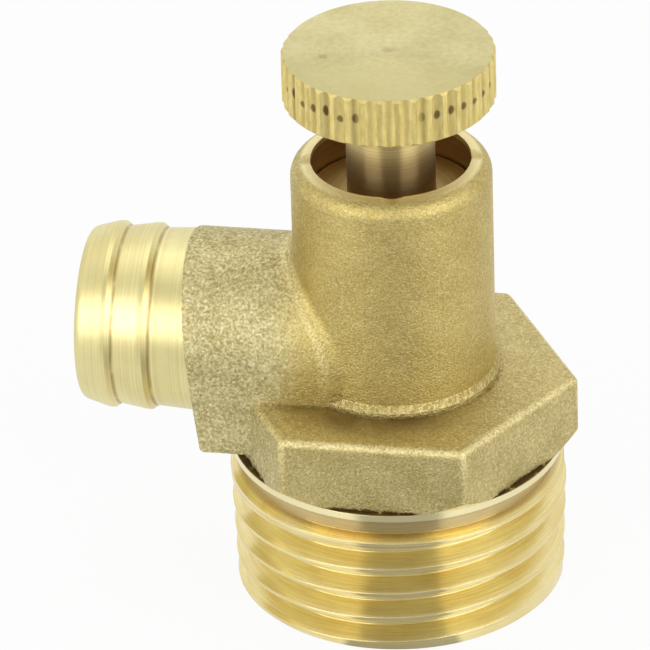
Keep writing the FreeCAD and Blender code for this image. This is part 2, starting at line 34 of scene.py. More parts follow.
# %% Levels of the casting
MM = 0.001
HEX_BOTTOM = 10.05 * MM
HEX_TOP = 14.7 * MM
HEX_APOTHEM = 10.0 * MM
SHOULDER_RADIUS = 10.45 * MM
FOOT_RADIUS = 6.55 * MM
FOOT_TOP = HEX_TOP + 0.35 * MM
BARREL_RADIUS = 6.26 * MM
BRANCH_AXIS = 17.25 * MM
RIM = 29.66 * MM
print("casting rises from", round(HEX_BOTTOM, 5), "to", round(RIM, 5))

# %% [markdown]
# The camera stands in front and a little to the right, about half a metre away, and looks down at a
# third of a right angle. A short lens close by would make the upright lines run together towards the
# floor. A long lens at this distance keeps them nearly parallel.

# %% Camera
CAMERA_PLACE = Vector((0.07194, -0.41854, 0.26869))
CAMERA_TARGET = Vector((-0.00536, 0.00494, 0.01435))
CAMERA_UP = Vector((-0.0640, 0.5244, 0.8491))
camera_data = bpy.data.cameras.new("camera")
camera_data.sensor_width = 36.0
camera_data.lens = 437.1
camera_data.clip_start = 0.01
camera_data.clip_end = 20.0
camera = bpy.data.objects.new("camera", camera_data)
bpy.context.scene.collection.objects.link(camera)
backwards = (CAMERA_PLACE - CAMERA_TARGET).normalized()
rightwards = CAMERA_UP.cross(backwards).normalized()
upwards = backwards.cross(rightwards)
camera_axes = Matrix((rightwards, upwards, backwards)).transposed()
camera.matrix_world = Matrix.Translation(CAMERA_PLACE) @ camera_axes.to_4x4()
bpy.context.scene.camera = camera
bpy.context.scene.view_settings.view_transform = "Standard"
print("camera looks along", tuple(round(v, 3) for v in -backwards))


# %% [markdown]
# Every finish is a small graph of nodes. A graph could be drawn by hand in the Shader Editor, but as
# code it can be read and repeated. A few helpers keep it short: one starts a material, one adds a
# node with its settings and wires, and one closes the graph with a Principled shader, which suits
# metal and rubber alike.

# %% Helpers that build a material
def start_material(name):
    material = bpy.data.materials.new(name)
    material.use_nodes = True
    material.node_tree.nodes.clear()
    return material, material.node_tree


def add_node(tree, kind, inputs=None, **settings):
    """A node with settings; an input is a number, a colour or the output of another node."""
    node = tree.nodes.new(kind)
    for key, value in settings.items():
        setattr(node, key, value)
    for key, value in (inputs or {}).items():
        if isinstance(value, bpy.types.NodeSocket):
            tree.links.new(value, node.inputs[key])
        else:
            node.inputs[key].default_value = value
    return node


def close_material(material, sockets):
    tree = material.node_tree
    shader = add_node(tree, "ShaderNodeBsdfPrincipled", sockets)
    add_node(tree, "ShaderNodeOutputMaterial", {0: shader.outputs[0]})
    print("made", material.name)


print("material helpers ready")


# %% [markdown]
# The marks on brass are told by numbers: how far a point is from an edge, how deep a dent is, how
# likely a speck. Math nodes work these out at each point. The helpers below let a sum of nodes read
# like a sum.

# %% Helpers for arithmetic
def arithmetic(tree, operation, first, second=0.0):
    return add_node(tree, "ShaderNodeMath", {0: first, 1: second}, operation=operation).outputs[0]


def product(tree, first, *others):
    for other in others:
        first = arithmetic(tree, "MULTIPLY", first, other)
    return first


def total(tree, first, second):
    return arithmetic(tree, "ADD", first, second)


def larger(tree, first, second):
    return arithmetic(tree, "MAXIMUM", first, second)


def gap_to(tree, value, level):
    """How far a value is from a level, on either side of it."""
    return arithmetic(tree, "ABSOLUTE", arithmetic(tree, "SUBTRACT", value, level))


def band(tree, value, low, high):
    """0 at low, 1 at high, smooth between; low may be the larger one."""
    node = add_node(tree, "ShaderNodeMapRange", {0: value, 1: low, 2: high, 3: 0.0, 4: 1.0},
                    interpolation_type="SMOOTHSTEP")
    return node.outputs[0]


print("arithmetic helpers ready")


# %% [markdown]
# A finish also needs places, chance and mixing. Places come from the piece's own axes, so the marks
# ride with the piece when it turns. Noise gives the chance, and two Mix helpers go from one colour or
# number to another.

# %% Helpers for places, noise and mixing
def coordinates(tree):
    """The place on the piece, and its three coordinates."""
    place = add_node(tree, "ShaderNodeTexCoord").outputs["Object"]
    split = add_node(tree, "ShaderNodeSeparateXYZ", {0: place})
    return place, split.outputs[0], split.outputs[1], split.outputs[2]


def distance_from_axis(tree, first, second):
    """Distance of a point from an axis, from its two coordinates across that axis."""
    squares = total(tree, product(tree, first, first), product(tree, second, second))
    return arithmetic(tree, "SQRT", squares)


def reach_along(tree, place, direction):
    node = add_node(tree, "ShaderNodeVectorMath", {0: place, 1: direction}, operation="DOT_PRODUCT")
    return node.outputs["Value"]


def noise(tree, place, scale, detail=2.0, roughness=0.5):
    node = add_node(tree, "ShaderNodeTexNoise",
                    {"Vector": place, "Scale": scale, "Detail": detail, "Roughness": roughness})
    return node.outputs["Fac"]


def blend_colors(tree, factor, first, second):
    node = add_node(tree, "ShaderNodeMix", {0: factor, 6: first, 7: second}, data_type="RGBA")
    return node.outputs[2]


def blend_values(tree, factor, first, second):
    node = add_node(tree, "ShaderNodeMix", {0: factor, 2: first, 3: second}, data_type="FLOAT")
    return node.outputs[0]


print("place, noise and mixing helpers ready")

# %% [markdown]
# The casting was blasted with fine shot, which leaves a matt skin of tiny dents. Modelled dents would
# make the mesh very heavy, so noise in two sizes gives them: it drives the colour here and a bump
# later on. The barrel is fine, and the branch, where the mould was coarser, has larger and paler
# dents.

# %% Grain of the cast skin
FINE_GRAIN = 7800.0
COARSE_GRAIN = 5400.0
SWELL_GRAIN = 420.0
BRANCH_FROM = -4.5 * MM
BRANCH_FULL = -7.5 * MM
CAST_DARK = (0.45, 0.35, 0.115, 1.0)
CAST_LIGHT = (0.68, 0.555, 0.22, 1.0)
COARSE_DARK = (0.40, 0.33, 0.135, 1.0)
COARSE_LIGHT = (0.72, 0.65, 0.365, 1.0)
HEX_COARSENESS = 0.42

cast_brass, tree = start_material("cast_brass_blasted")
place, x, y, z = coordinates(tree)
fine_dents = noise(tree, place, FINE_GRAIN, 2.0, 0.55)
coarse_dents = noise(tree, place, COARSE_GRAIN, 2.0, 0.6)
swell = noise(tree, place, SWELL_GRAIN)
radius = distance_from_axis(tree, x, y)
on_branch = band(tree, x, BRANCH_FROM, BRANCH_FULL)
coarseness = total(tree, 0.35, product(tree, on_branch, 0.5))
grain = blend_values(tree, coarseness, fine_dents, coarse_dents)
rubbed_grain = product(tree, band(tree, grain, 0.36, 0.66), 0.72)
rubbed_swell = product(tree, band(tree, swell, 0.3, 0.7), 0.25)
rubbed = total(tree, rubbed_grain, rubbed_swell)
fine_skin = blend_colors(tree, rubbed, CAST_DARK, CAST_LIGHT)
coarse_skin = blend_colors(tree, rubbed, COARSE_DARK, COARSE_LIGHT)
on_hex = product(tree, band(tree, z, HEX_TOP + 1.2 * MM, HEX_TOP - 0.2 * MM), HEX_COARSENESS)
off_barrel = larger(tree, on_branch, on_hex)
skin = blend_colors(tree, off_barrel, fine_skin, coarse_skin)
print("skin has", FINE_GRAIN * MM, "fine and", COARSE_GRAIN * MM, "coarse dents a millimetre")

# %% [markdown]
# In such a skin a few single grains catch the light and a few are pits. Their glints are painted
# highlights, and the dark of the pits is painted shade. Noise can't pick out one grain, but each cell
# of a Voronoi texture has a random colour of its own, and its red serves as that grain's chance.

# %% Painted glints and pit shade
GRAIN_CELLS = 7000.0
GLINT_HIGHLIGHT = (0.95, 0.87, 0.58, 1.0)
PIT_SHADE = (0.22, 0.165, 0.06, 1.0)
grains = add_node(tree, "ShaderNodeTexVoronoi", {"Vector": place, "Scale": GRAIN_CELLS})
chance = add_node(tree, "ShaderNodeSeparateColor", {0: grains.outputs["Color"]}).outputs[0]
glint_highlight_share = blend_values(tree, off_barrel, 0.14, 0.38)
pit_shade_share = blend_values(tree, off_barrel, 0.12, 0.34)
# Painted highlight on single glinting grains, painted shade in single pits.
glint_highlight = product(tree, band(tree, chance, 0.74, 0.96), glint_highlight_share)
pit_shade = product(tree, band(tree, chance, 0.22, 0.04), pit_shade_share)
skin = blend_colors(tree, glint_highlight, skin, GLINT_HIGHLIGHT)
skin = blend_colors(tree, pit_shade, skin, PIT_SHADE)
print("grains have", GRAIN_CELLS * MM, "cells a millimetre")

# %% [markdown]
# Painted shade darkens the corner where the barrel stands on the hexagon, mostly at the left.
# Ambient occlusion could find the corner, but it would darken all corners alike, so the painted shade
# is bound to a height and a reach from the foot.

# %% Painted shade on top of the hexagon
CORNER_SHADE = (0.22, 0.155, 0.055, 1.0)
corner_height = band(tree, z, HEX_TOP + 0.25 * MM, HEX_TOP + 0.1 * MM)
corner_reach = band(tree, radius, FOOT_RADIUS + 3.6 * MM, FOOT_RADIUS + 0.4 * MM)
corner_side = band(tree, x, 7.5 * MM, 1.0 * MM)
patchy = total(tree, 0.5, product(tree, band(tree, swell, 0.3, 0.7), 0.5))
# Painted shade in the corner at the barrel's foot.
corner_shade = product(tree, corner_height, corner_reach, corner_side, patchy)
skin = blend_colors(tree, corner_shade, skin, CORNER_SHADE)
print("dirt reaches", round(FOOT_RADIUS + 3.6 * MM, 5), "from the barrel's axis")

# %% [markdown]
# Handling rubs the skin off the edges that stand out, such as those of the hexagon. A Geometry node's
# pointiness could find them, but it depends on how finely the mesh is cut. Here the reach towards the
# flats finds the upper edges, and the distance from the axis finds the corners.

# %% Edges of the hexagon
EDGE_FADE = 0.42 * MM
EDGE_FULL = 0.15 * MM
CORNER_FROM = 11.34 * MM
CORNER_FULL = 11.44 * MM
sideways = arithmetic(tree, "ABSOLUTE", y)
hex_reach = sideways
for turn in (60, 120):
    slant = (math.sin(math.radians(turn)), math.cos(math.radians(turn)), 0.0)
    across = arithmetic(tree, "ABSOLUTE", reach_along(tree, place, slant))
    hex_reach = larger(tree, hex_reach, across)
beside_branch = larger(tree, band(tree, sideways, 6.2 * MM, 6.8 * MM), band(tree, x, 0.0, 1.0 * MM))
top_edge = product(tree, band(tree, hex_reach, HEX_APOTHEM - EDGE_FADE, HEX_APOTHEM - EDGE_FULL),
                   band(tree, z, HEX_TOP - EDGE_FADE, HEX_TOP - EDGE_FULL))
upright_edge = product(tree, band(tree, radius, CORNER_FROM, CORNER_FULL),
                       band(tree, z, HEX_TOP, HEX_TOP - 0.3 * MM),
                       band(tree, z, HEX_TOP - 3.0 * MM, HEX_TOP - 1.0 * MM), 0.8)
hex_edges = product(tree, larger(tree, top_edge, upright_edge), beside_branch)
print("edges of the hexagon start", round(HEX_APOTHEM - EDGE_FADE, 5), "from the axis")

# %% [markdown]
# Two more edges are pale: the ring at the foot of the barrel and the fillet at the root of the
# branch. On all these edges the pale colour is partly wear and partly a painted highlight. It is patchy
# because the grain breaks it up, as on real skin, where the high grains go first.

# %% Worn and highlighted edges
WORN_AND_HIGHLIGHT = (0.94, 0.83, 0.46, 1.0)
ROOT_FILLET = BARREL_RADIUS + 0.6 * MM
from_foot = gap_to(tree, z, FOOT_TOP)
within_foot = band(tree, radius, FOOT_RADIUS + 0.2 * MM, FOOT_RADIUS + 0.1 * MM)
outer_foot = band(tree, radius, FOOT_RADIUS - 0.15 * MM, FOOT_RADIUS - 0.02 * MM)
foot_edge = product(tree, outer_foot, within_foot, band(tree, from_foot, 0.3 * MM, 0.1 * MM), 0.3)
from_root = gap_to(tree, radius, ROOT_FILLET)
root_edge = product(tree, band(tree, from_root, 0.25 * MM, 0.1 * MM),
                    band(tree, x, -0.5 * MM, -2.0 * MM),
                    band(tree, z, FOOT_TOP + 0.4 * MM, FOOT_TOP + 1.0 * MM), 0.6)
edges = larger(tree, hex_edges, larger(tree, foot_edge, root_edge))
# Pale edges: partly wear, partly painted highlight.
wear_and_highlight = product(tree, edges, band(tree, grain, 0.3, 0.62), 0.6)
skin = blend_colors(tree, wear_and_highlight, skin, WORN_AND_HIGHLIGHT)
print("worn edges: hexagon, foot at", round(FOOT_TOP, 5), "and root at", round(ROOT_FILLET, 5))

# %% [markdown]
# The small step of the foot ring has a slope that catches the light. Specks from a coarser noise
# darken it with painted shade, and they press into it with the bump below.

# %% Painted shade on the foot ring
FOOT_SPECK_GRAIN = 3000.0
FOOT_SPECK_SHADE = (0.34, 0.26, 0.10, 1.0)
foot_zone = product(tree, band(tree, radius, BARREL_RADIUS - 0.02 * MM, BARREL_RADIUS + 0.06 * MM),
                    within_foot, band(tree, z, FOOT_TOP + 0.9 * MM, FOOT_TOP + 0.5 * MM))
foot_specks = band(tree, noise(tree, place, FOOT_SPECK_GRAIN, 3.0, 0.7), 0.42, 0.66)
# Painted shade in specks on the foot ring's slope.
foot_speck_shade = product(tree, foot_zone, total(tree, 0.08, product(tree, foot_specks, 0.62)))
skin = blend_colors(tree, foot_speck_shade, skin, FOOT_SPECK_SHADE)
print("clods have", FOOT_SPECK_GRAIN * MM, "specks a millimetre")

# %% [markdown]
# The rim was rolled inwards by a tool to hold the spindle, which pressed its grain nearly flat and
# bright. Its pale colour is partly that pressed metal and partly a painted highlight along the lip. It
# could be a material of its own, but the roll runs out softly into the skin, so a band blends it in.

# %% Rolled rim
ROLLED_AND_HIGHLIGHT = (0.95, 0.85, 0.48, 1.0)
rolled = band(tree, z, RIM - 0.18 * MM, RIM - 0.03 * MM)
# Pale rim: partly pressed metal, partly painted highlight along the lip.
skin = blend_colors(tree, product(tree, rolled, 0.85), skin, ROLLED_AND_HIGHLIGHT)
print("rim is bright above", round(RIM - 0.18 * MM, 5))

# %% [markdown]
# Where the turned shoulder stands proud of the flats, the tool tore the skin and left a thin ragged
# line. Its dark colour is partly the torn skin and partly painted shade under the ledge. A drawn line
# would be too even, so noise sets how high the tear climbs above the shoulder.

# %% Torn line under the hexagon
TEAR_GRAIN = 1500.0
TEAR_HEIGHT = 0.9 * MM
TORN_DARK_AND_SHADE = (0.135, 0.085, 0.03, 1.0)
ragged = noise(tree, place, TEAR_GRAIN, 5.0, 0.7)
tear_top = product(tree, arithmetic(tree, "SUBTRACT", ragged, 0.36), TEAR_HEIGHT)
above_ledge = arithmetic(tree, "SUBTRACT", z, HEX_BOTTOM)
below_tear = band(tree, arithmetic(tree, "SUBTRACT", tear_top, above_ledge), -0.04 * MM, 0.08 * MM)
inside_shoulder = band(tree, radius, SHOULDER_RADIUS + 0.05 * MM, SHOULDER_RADIUS - 0.15 * MM)
# Dark ragged line: partly torn skin, partly painted shade under the ledge.
skin = blend_colors(tree, product(tree, below_tear, inside_shoulder), skin, TORN_DARK_AND_SHADE)
print("torn line starts at", round(HEX_BOTTOM, 5))

# %% [markdown]
# Last for the casting come the dents themselves. A displacement would move the surface, which a
# fitting with set sizes shouldn't do, so a bump only tilts the light. The skin is dull, and the
# branch is dullest.

# %% Dents and gloss of the casting
DENT_DEPTH = 0.08 * MM
relief = total(tree, grain, product(tree, swell, 1.2))
relief = arithmetic(tree, "SUBTRACT", relief, product(tree, foot_zone, foot_specks, 0.55))
dent_strength = blend_values(tree, rolled, 0.85, 0.65)
bump = add_node(tree, "ShaderNodeBump",
                {"Height": relief, "Strength": dent_strength, "Distance": DENT_DEPTH})
skin_gloss = blend_values(tree, on_branch, 0.53, 0.6)
gloss = blend_values(tree, rolled, skin_gloss, 0.5)
close_material(cast_brass, {"Base Color": skin, "Metallic": 1.0, "Roughness": gloss,
                            "Normal": bump.outputs[0]})


# %% [markdown]
# A lathe tool leaves fine rings round the axis it turned on. They stretch every highlight across the
# rings, so the shader is anisotropic: its tangent follows the rings and is then turned by a quarter.
# Real grooves in the mesh would do it too, but thousands would be needed. One helper serves both
# axes: the barrel's, for the thread, shoulder and spindle, and the branch's, for the hose tail.

# %% Helpers for turning
def round_axis(tree, axis, axis_height):
    """The place, its distance from the axis, its place along the axis and the direction round it."""
    place, x, y, z = coordinates(tree)
    if axis == "Z":
        radius = distance_from_axis(tree, x, y)
        around = add_node(tree, "ShaderNodeCombineXYZ", {0: product(tree, y, -1.0), 1: x})
        return place, radius, z, around.outputs[0]
    height = arithmetic(tree, "SUBTRACT", z, axis_height)
    radius = distance_from_axis(tree, y, height)
    around = add_node(tree, "ShaderNodeCombineXYZ", {1: product(tree, height, -1.0), 2: y})
    return place, radius, x, around.outputs[0]


def ring_tangent(tree, around):
    """The direction round the axis, from the piece's own axes to those of the scene."""
    node = add_node(tree, "ShaderNodeVectorTransform", {0: around},
                    vector_type="VECTOR", convert_from="OBJECT", convert_to="WORLD")
    return node.outputs[0]


print("turning helpers ready")


# %% [markdown]
# Turned brass isn't even: a paler band on the shoulder just under the hexagon is a painted highlight,
# brown bands are painted shade on the relief and on the stem inside the barrel, and dark lines are
# painted shade in the creases. A picture of such marks would need a map of the whole surface. All of
# them follow the turning, so their place along the axis is enough.

# %% Marks on turned brass
SHOULDER_HIGHLIGHT = (0.92, 0.84, 0.53, 1.0)
HIGHLIGHT_FROM = 9.5 * MM
HIGHLIGHT_TO = 11.5 * MM
HIGHLIGHT_FADE = 0.1 * MM
BROWN_SHADE = (0.24, 0.115, 0.04, 1.0)
CREASE_SHADE = (0.34, 0.23, 0.08, 1.0)
CREASE_WIDTH = 0.17 * MM
CREASE_GRAIN = 700.0


def mark_turned(tree, color, place, along, creases, shade_band):
    # Painted highlight: a paler band on the shoulder under the hexagon.
    shoulder_highlight = product(tree, band(tree, along, HIGHLIGHT_FROM, HIGHLIGHT_FROM + HIGHLIGHT_FADE),
                    band(tree, along, HIGHLIGHT_TO, HIGHLIGHT_TO - HIGHLIGHT_FADE))
    color = blend_colors(tree, product(tree, shoulder_highlight, 0.7), color, SHOULDER_HIGHLIGHT)
    # Painted shade: a brown band along the axis.
    if shade_band:
        low, high, fade, strength = shade_band
        band_shade = product(tree, band(tree, along, low - fade, low), band(tree, along, high + fade, high),
                          strength)
        color = blend_colors(tree, band_shade, color, BROWN_SHADE)
    # Painted shade: dark broken lines in the creases.
    for crease in creases:
        broken = band(tree, noise(tree, place, CREASE_GRAIN, 3.0), 0.15, 0.55)
        from_crease = gap_to(tree, along, crease)
        line = product(tree, band(tree, from_crease, CREASE_WIDTH, 0.2 * CREASE_WIDTH), broken, 0.65)
        color = blend_colors(tree, line, color, CREASE_SHADE)
    return color


print("creases are", CREASE_WIDTH, "wide")


# %% [markdown]
# The turned finish puts these together: a tone from rings and large patches, the marks, and a faint
# bump of the rings. Use rounds sharp edges a little. A Bevel node does that in the shading alone and
# leaves the solid as it was designed.

# %% Turned brass
RING_GRAIN = 9000.0
PATCH_GRAIN = 260.0
RING_DEPTH = 0.01 * MM
EDGE_WEAR = 0.07 * MM
QUARTER_TURN = 0.25


def turned_brass(name, color_low, color_high, axis, axis_height=0.0, gloss=0.30, stretch=0.8,
                 creases=(), shade_band=None):
    material, tree = start_material(name)
    place, radius, along, around = round_axis(tree, axis, axis_height)
    rings_place = add_node(tree, "ShaderNodeCombineXYZ", {0: radius, 1: along}).outputs[0]
    rings = noise(tree, rings_place, RING_GRAIN, 2.0, 0.6)
    patches = noise(tree, place, PATCH_GRAIN, 3.0)
    tone = total(tree, product(tree, rings, 0.6), product(tree, patches, 0.5))
    color = blend_colors(tree, band(tree, tone, 0.35, 0.75), color_low, color_high)
    color = mark_turned(tree, color, place, along, creases, shade_band)
    worn_edge = add_node(tree, "ShaderNodeBevel", {"Radius": EDGE_WEAR}, samples=4)
    bump = add_node(tree, "ShaderNodeBump", {"Height": rings, "Strength": 0.25, "Distance": RING_DEPTH,
                                             "Normal": worn_edge.outputs[0]})
    close_material(material, {
        "Base Color": color, "Metallic": 1.0, "Roughness": gloss, "Anisotropic": stretch,
        "Anisotropic Rotation": QUARTER_TURN, "Normal": bump.outputs[0],
        "Tangent": ring_tangent(tree, around)})
    return material


BRIGHT_LOW = (0.76, 0.615, 0.26, 1.0)
BRIGHT_HIGH = (0.91, 0.80, 0.43, 1.0)
# Painted shade on the relief above the thread.
RELIEF_SHADE = (8.4 * MM, 9.3 * MM, 0.15 * MM, 0.42)
turned_upright = turned_brass("turned_brass_upright", BRIGHT_LOW, BRIGHT_HIGH, "Z",
                              gloss=0.24, shade_band=RELIEF_SHADE)

# %% [markdown]
# The other turned surfaces take the same function with other values. The stem is bright in tall
# strips and has painted shade inside the barrel, the collar under it is brown and dull, and the hose
# tail is pale with painted shade in the creases between its ridges. The drilled bores are coloured
# dark, which is painted shade.

# %% Stem, collar, hose tail and bores
COLLAR_TOP = 27.26 * MM
COLLAR_LOW = (0.60, 0.43, 0.165, 1.0)
COLLAR_HIGH = (0.77, 0.60, 0.26, 1.0)
# Painted shade on the stem, darker downwards inside the barrel.
STEM_SHADE = (COLLAR_TOP, RIM + 0.6 * MM, 1.6 * MM, 0.5)
STEM_LOW = (0.60, 0.46, 0.19, 1.0)
STEM_HIGH = (0.77, 0.65, 0.34, 1.0)
TAIL_CREASES = (-17.05 * MM, -14.70 * MM)
TAIL_LOW = (0.70, 0.605, 0.27, 1.0)
TAIL_HIGH = (0.84, 0.76, 0.395, 1.0)
# Painted shade: the drilled bores are coloured dark.
BORE_SHADE_LOW = (0.28, 0.16, 0.06, 1.0)
BORE_SHADE_HIGH = (0.40, 0.245, 0.10, 1.0)
turned_collar = turned_brass("turned_brass_collar", COLLAR_LOW, COLLAR_HIGH, "Z", gloss=0.48, stretch=0.3)
turned_stem = turned_brass("turned_brass_stem", STEM_LOW, STEM_HIGH, "Z",
                           gloss=0.32, stretch=0.95, shade_band=STEM_SHADE)
turned_branch = turned_brass("turned_brass_branch", TAIL_LOW, TAIL_HIGH, "X", BRANCH_AXIS,
                             gloss=0.40, stretch=0.35, creases=TAIL_CREASES)
drilled = turned_brass("drilled_brass_shaded", BORE_SHADE_LOW, BORE_SHADE_HIGH, "Z", gloss=0.5, stretch=0.4)

# %% [markdown]
# The top of the knob was faced on the lathe and then handled, so it is paler and duller than the
# thread, with faint rings, and painted shade makes it darker towards the front. It has a ragged speck
# at the centre, where the tool ended, and one small dark fleck. A disc with a picture would show these
# too, but noise round a point keeps them sharp close up.

# %% Colour of the knob's face
KNOB_TOP = 37.2 * MM
FACE_LOW = (0.55, 0.485, 0.215, 1.0)
FACE_HIGH = (0.75, 0.68, 0.38, 1.0)
FLECK = (0.30, 0.22, 0.09, 1.0)
FLECK_PLACE = (-3.85 * MM, -1.3 * MM, KNOB_TOP)
FACE_RING_GRAIN = 6500.0
FACE_MOTTLE_GRAIN = 2600.0
FACE_CLOUD_GRAIN = 190.0
SPECK_GRAIN = 3500.0
SPECK_SIZE = 0.7 * MM
SPECK_FADE = (0.05 * MM, -0.15 * MM)

faced_brass, tree = start_material("faced_brass")
place, x, y, z = coordinates(tree)
radius = distance_from_axis(tree, x, y)
rings_place = add_node(tree, "ShaderNodeCombineXYZ", {0: radius}).outputs[0]
rings = noise(tree, rings_place, FACE_RING_GRAIN, 3.0, 0.6)
mottle = noise(tree, place, FACE_MOTTLE_GRAIN, 3.0, 0.6)
cloud = noise(tree, place, FACE_CLOUD_GRAIN, 2.0)
tone = total(tree, product(tree, rings, 0.2), product(tree, mottle, 0.3))
tone = total(tree, tone, product(tree, cloud, 0.5))
color = blend_colors(tree, band(tree, tone, 0.3, 0.7), FACE_LOW, FACE_HIGH)
speck_edge = product(tree, noise(tree, place, SPECK_GRAIN, 2.0), SPECK_SIZE)
centre_speck = band(tree, arithmetic(tree, "SUBTRACT", radius, speck_edge), *SPECK_FADE)
to_fleck = add_node(tree, "ShaderNodeVectorMath", {0: place, 1: FLECK_PLACE}, operation="DISTANCE")
fleck = band(tree, arithmetic(tree, "SUBTRACT", to_fleck.outputs["Value"], speck_edge), *SPECK_FADE)
color = blend_colors(tree, product(tree, fleck, 0.45), color, FLECK)
color = blend_colors(tree, product(tree, centre_speck, 0.3), color, FLECK)
# Painted shade: the face is darker towards the front.
front_shade = product(tree, band(tree, y, 0.0, -5.0 * MM), 0.6)
color = blend_colors(tree, front_shade, color, FACE_LOW)
print("face is coloured at", round(KNOB_TOP, 5))

# %% [markdown]
# The facing tool's rings stretch the light on the face as well, only less than on the stem, because
# handling has dulled them. So the anisotropy is lower here and the roughness higher.

# %% Gloss of the knob's face
FACE_DEPTH = 0.02 * MM
height = total(tree, product(tree, rings, 0.3), mottle)
bump = add_node(tree, "ShaderNodeBump", {"Height": height, "Strength": 0.3, "Distance": FACE_DEPTH})
around = add_node(tree, "ShaderNodeCombineXYZ", {0: product(tree, y, -1.0), 1: x}).outputs[0]
close_material(faced_brass, {
    "Base Color": color, "Metallic": 1.0, "Roughness": 0.45, "Anisotropic": 0.4,
    "Anisotropic Rotation": QUARTER_TURN, "Normal": bump.outputs[0],
    "Tangent": ring_tangent(tree, around)})

# %% [markdown]
# A knurling wheel pressed the grooves into the knob, and these are real grooves in the solid. Painted
# shade darkens the middle of every groove. The wheel bit deeper on two sides. To paint more shade into
# single grooves there, each gets a number from the angle round the axis, and a white noise node turns
# that number into the groove's own chance. Splitting the mesh by groove would be more work.

# %% Grooves of the knurl
KNURL_COUNT = 40
KNURL_LOW = (0.66, 0.53, 0.18, 1.0)
KNURL_HIGH = (0.84, 0.71, 0.30, 1.0)
SHALLOW_SIDE = math.radians(-80.0)
STREAK_GRAIN = 3800.0
STREAK_STRETCH = (1.0, 1.0, 0.25)

knurled_brass, tree = start_material("knurled_brass")
place, x, y, z = coordinates(tree)
angle = arithmetic(tree, "ARCTAN2", y, x)
turns = product(tree, angle, KNURL_COUNT / (2.0 * math.pi))
from_shallow = arithmetic(tree, "SINE", arithmetic(tree, "SUBTRACT", angle, SHALLOW_SIDE))
bite = band(tree, arithmetic(tree, "ABSOLUTE", from_shallow), 0.22, 0.36)
number = arithmetic(tree, "FLOOR", total(tree, turns, 0.5))
from_groove = product(tree, gap_to(tree, turns, number), 2.0)
chance = add_node(tree, "ShaderNodeTexWhiteNoise", {"W": number}, noise_dimensions="1D").outputs["Value"]
streak_place = add_node(tree, "ShaderNodeMapping", {"Vector": place, "Scale": STREAK_STRETCH})
streaks = noise(tree, streak_place.outputs[0], STREAK_GRAIN, 3.0, 0.6)
color = blend_colors(tree, band(tree, streaks, 0.25, 0.75), KNURL_LOW, KNURL_HIGH)
# Painted shade along the middle of every groove.
groove_shade = product(tree, band(tree, from_groove, 0.55, 0.1), 0.35)
color = blend_colors(tree, groove_shade, color, KNURL_LOW)
print("grooves of the knurl:", KNURL_COUNT)

# %% [markdown]
# Half way up the bitten grooves the wheel left pits, like a row of dots. Each pit is an oval of painted
# shade in height and angle, whose level, size and depth of colour follow the groove's chance. As dimples
# in the mesh they would add many faces for little, so they are colour alone.

# %% Pits in the knurl
KNOB_BOTTOM = 34.0 * MM
KNURL_PIT_SHADE = (0.10, 0.055, 0.018, 1.0)
PIT_LEVEL = KNOB_BOTTOM + 1.6 * MM
STREAK_DEPTH = 0.02 * MM
pit_level = total(tree, PIT_LEVEL, product(tree, chance, 0.4 * MM))
pit_size = total(tree, 0.3 * MM, product(tree, chance, 0.3 * MM))
from_pit = arithmetic(tree, "DIVIDE", arithmetic(tree, "SUBTRACT", z, pit_level), pit_size)
pit_reach = distance_from_axis(tree, from_pit, product(tree, from_groove, 1.7))
# Painted shade in the pits and along the bitten grooves.
pit_shade = product(tree, band(tree, pit_reach, 1.0, 0.45), bite, blend_values(tree, chance, 0.75, 1.0))
groove_share = blend_values(tree, chance, 0.1, 0.42)
bitten_groove_shade = product(tree, band(tree, from_groove, 0.6, 0.15), bite, groove_share)
color = blend_colors(tree, larger(tree, pit_shade, bitten_groove_shade), color, KNURL_PIT_SHADE)
bump = add_node(tree, "ShaderNodeBump", {"Height": streaks, "Strength": 0.4, "Distance": STREAK_DEPTH})
close_material(knurled_brass, {"Base Color": color, "Metallic": 1.0, "Roughness": 0.52,
                               "Normal": bump.outputs[0]})

# %% [markdown]
# The seals inside are black rubber: dull, with the faint mottle of a moulded surface. They are seldom
# seen, so one noise for both colour and bump is enough.

# %% Rubber
RUBBER_DARK = (0.012, 0.012, 0.012, 1.0)
RUBBER_LIGHT = (0.035, 0.034, 0.033, 1.0)
MOULD_GRAIN = 1800.0
MOULD_DEPTH = 0.03 * MM
rubber, tree = start_material("moulded_rubber")
place = add_node(tree, "ShaderNodeTexCoord").outputs["Object"]
mottle = noise(tree, place, MOULD_GRAIN, 3.0)
color = blend_colors(tree, mottle, RUBBER_DARK, RUBBER_LIGHT)
bump = add_node(tree, "ShaderNodeBump", {"Height": mottle, "Strength": 0.3, "Distance": MOULD_DEPTH})
close_material(rubber, {"Base Color": color, "Roughness": 0.62, "Normal": bump.outputs[0]})


# %% [markdown]
# The casting is one piece with several finishes: the thread, relief and shoulder were turned about
# the barrel, the hose tail about the branch, the bores were drilled, and the rest is skin. Cutting it
# up would leave seams, so each face of the one mesh is given the number of its material.

# %% Sorting the casting's faces
CAST, UPRIGHT, BRANCH, BORE = range(4)
CHAMBER_REACH = 5.6 * MM
CHAMBER_FLOOR = 8.5 * MM
CHAMBER_TOP = RIM - 0.4 * MM
INLET_REACH = 7.3 * MM
INLET_TOP = 9.5 * MM
OUTLET_START = -4.6 * MM
OUTLET_REACH = 3.8 * MM
LEDGE_REACH = SHOULDER_RADIUS - 0.3 * MM
LEDGE_TOP = HEX_BOTTOM + 1.2 * MM
LEDGE_END = -11.2 * MM
TAIL_START = -11.3 * MM
TAIL_REACH = 5.77 * MM
TAIL_ALONE = -13.4 * MM


